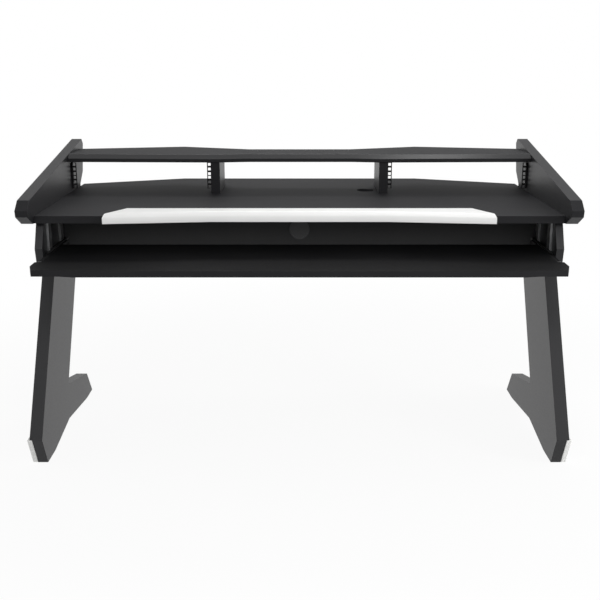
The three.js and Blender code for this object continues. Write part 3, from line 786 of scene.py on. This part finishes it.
def pale_floor():
    """A white floor that keeps the desk's soft shadow near it and fades into the white around."""
    bpy.ops.object.select_all(action="DESELECT")
    bpy.ops.mesh.primitive_circle_add(
        vertices=FLOOR_SIDES, radius=FLOOR_RADIUS, fill_type="NGON", location=(0, 0, 0)
    )
    floor = bpy.context.object
    floor.name = "floor"
    material = bpy.data.materials.new("pale_floor")
    material.use_nodes = True
    tree = material.node_tree
    tree.nodes.clear()
    place = put(tree, "ShaderNodeTexCoord").outputs["Object"]
    nearness = put(tree, "ShaderNodeVectorMath", {"operation": "LENGTH"}, {0: place})
    fading = put(
        tree,
        "ShaderNodeMapRange",
        {
            "From Min": SHADOW_FADE_START,
            "From Max": SHADOW_FADE_END,
            "To Min": WHITE_SHARE_NEAR,
            "To Max": 1.0,
            "interpolation_type": "SMOOTHSTEP",
        },
        {"Value": nearness.outputs["Value"]},
    )
    share = put(
        tree,
        "ShaderNodeMath",
        {"operation": "MULTIPLY"},
        {0: fading.outputs["Result"], 1: seen_or_mirrored(tree)},
    )
    lit = put(tree, "ShaderNodeBsdfDiffuse", {"Color": FLOOR_GREY})
    white = put(tree, "ShaderNodeEmission", {"Color": WHITE, "Strength": 1.0})
    mixed = put(
        tree,
        "ShaderNodeMixShader",
        {},
        {0: share.outputs["Value"], 1: lit.outputs["BSDF"], 2: white.outputs["Emission"]},
    )
    put(tree, "ShaderNodeOutputMaterial", {}, {"Surface": mixed.outputs["Shader"]})
    floor.data.materials.append(material)


def white_world(level):
    """White where it is seen or mirrored, and an even light of its own level on the desk."""
    world = bpy.data.worlds.new("studio")
    world.use_nodes = True
    tree = world.node_tree
    tree.nodes.clear()
    strength = put(
        tree,
        "ShaderNodeMapRange",
        {"To Min": level, "To Max": 1.0},
        {"Value": seen_or_mirrored(tree)},
    )
    sky = put(
        tree,
        "ShaderNodeBackground",
        {"Color": WHITE},
        {"Strength": strength.outputs["Result"]},
    )
    put(tree, "ShaderNodeOutputWorld", {}, {"Surface": sky.outputs["Background"]})
    bpy.context.scene.world = world


# Each lamp: name, place and target in metres, width and height in metres, watts
LAMPS = (
    ("lamp_behind", (-0.3, 1.53, 3.14), (0, -0.4, 0.66), (1.6, 0.67), 26),
    ("lamp_overhead", (0.6, 0.0, 2.4), (0.4, 0.05, 0.9), (2.2, 0.45), 12),
    ("lamp_left", (-2.4, -0.4, 0.5), (0, 0, 0.4), (1.2, 0.8), 8),
    ("lamp_right", (2.4, -0.4, 0.5), (0, 0, 0.4), (1.2, 0.8), 15),
    ("lamp_front", (-0.2, -2.5, 2.3), (0, -0.2, 0.7), (1.6, 0.8), 28),
    ("lamp_front_right", (1.6, -1.6, 2.2), (0, 0, 0.6), (1.2, 0.8), 4),
    ("lamp_low_right", (2.6, -1.6, 1.3), (0.3, -0.2, 0.6), (0.8, 0.8), 28),
)


class DESK_OT_stage(bpy.types.Operator):
    """Set the pale floor, the soft lamps and the camera"""

    bl_idname = "studio_desk.stage"
    bl_label = "Stage"

    def execute(self, context):
        settings = context.scene.desk_stage
        pale_floor()
        white_world(settings.sky)
        for name, place, target, size, power in LAMPS:
            lamp(name, place, target, size, power * settings.lamps)
        view = bpy.data.cameras.new("camera")
        view.sensor_width = SENSOR_WIDTH
        view.lens = settings.lens
        view.shift_x = settings.shift
        camera = bpy.data.objects.new("camera", view)
        camera.location = (0, -settings.camera_distance, settings.camera_height)
        camera.rotation_euler = (pi / 2 - settings.camera_tilt, 0, 0)
        context.scene.collection.objects.link(camera)
        context.scene.camera = camera
        context.scene.view_settings.view_transform = "Standard"
        return {"FINISHED"}


OPERATORS = (
    DESK_OT_boards,
    DESK_OT_back_panel,
    DESK_OT_armrest,
    DESK_OT_rack_rails,
    DESK_OT_slides,
    DESK_OT_feet,
    DESK_OT_stage,
)


class DESK_PT_panel(bpy.types.Panel):
    """The desk's pieces in the sidebar"""

    bl_idname = "DESK_PT_panel"
    bl_label = "Studio Desk"
    bl_space_type = "VIEW_3D"
    bl_region_type = "UI"
    bl_category = "Studio Desk"

    def draw(self, context):
        for operator in OPERATORS:
            self.layout.operator(operator.bl_idname)
        for holder, group in GROUPS.items():
            for name in group.__annotations__:
                self.layout.prop(getattr(context.scene, holder), name)


GROUPS = {"desk_sizes": DeskSizes, "desk_finishes": DeskFinishes, "desk_stage": DeskStage}


def register():
    for group in GROUPS.values():
        bpy.utils.register_class(group)
    for operator in OPERATORS:
        bpy.utils.register_class(operator)
    bpy.utils.register_class(DESK_PT_panel)
    for name, group in GROUPS.items():
        setattr(bpy.types.Scene, name, bpy.props.PointerProperty(type=group))


def unregister():
    for name in GROUPS:
        delattr(bpy.types.Scene, name)
    bpy.utils.unregister_class(DESK_PT_panel)
    for operator in reversed(OPERATORS):
        bpy.utils.unregister_class(operator)
    for group in GROUPS.values():
        bpy.utils.unregister_class(group)


def main():
    register()
    bpy.ops.studio_desk.stage()
    bpy.ops.studio_desk.boards()
    bpy.ops.studio_desk.back_panel()
    bpy.ops.studio_desk.armrest()
    bpy.ops.studio_desk.rack_rails()
    bpy.ops.studio_desk.slides()
    bpy.ops.studio_desk.feet()


if __name__ == "__main__":
    main()
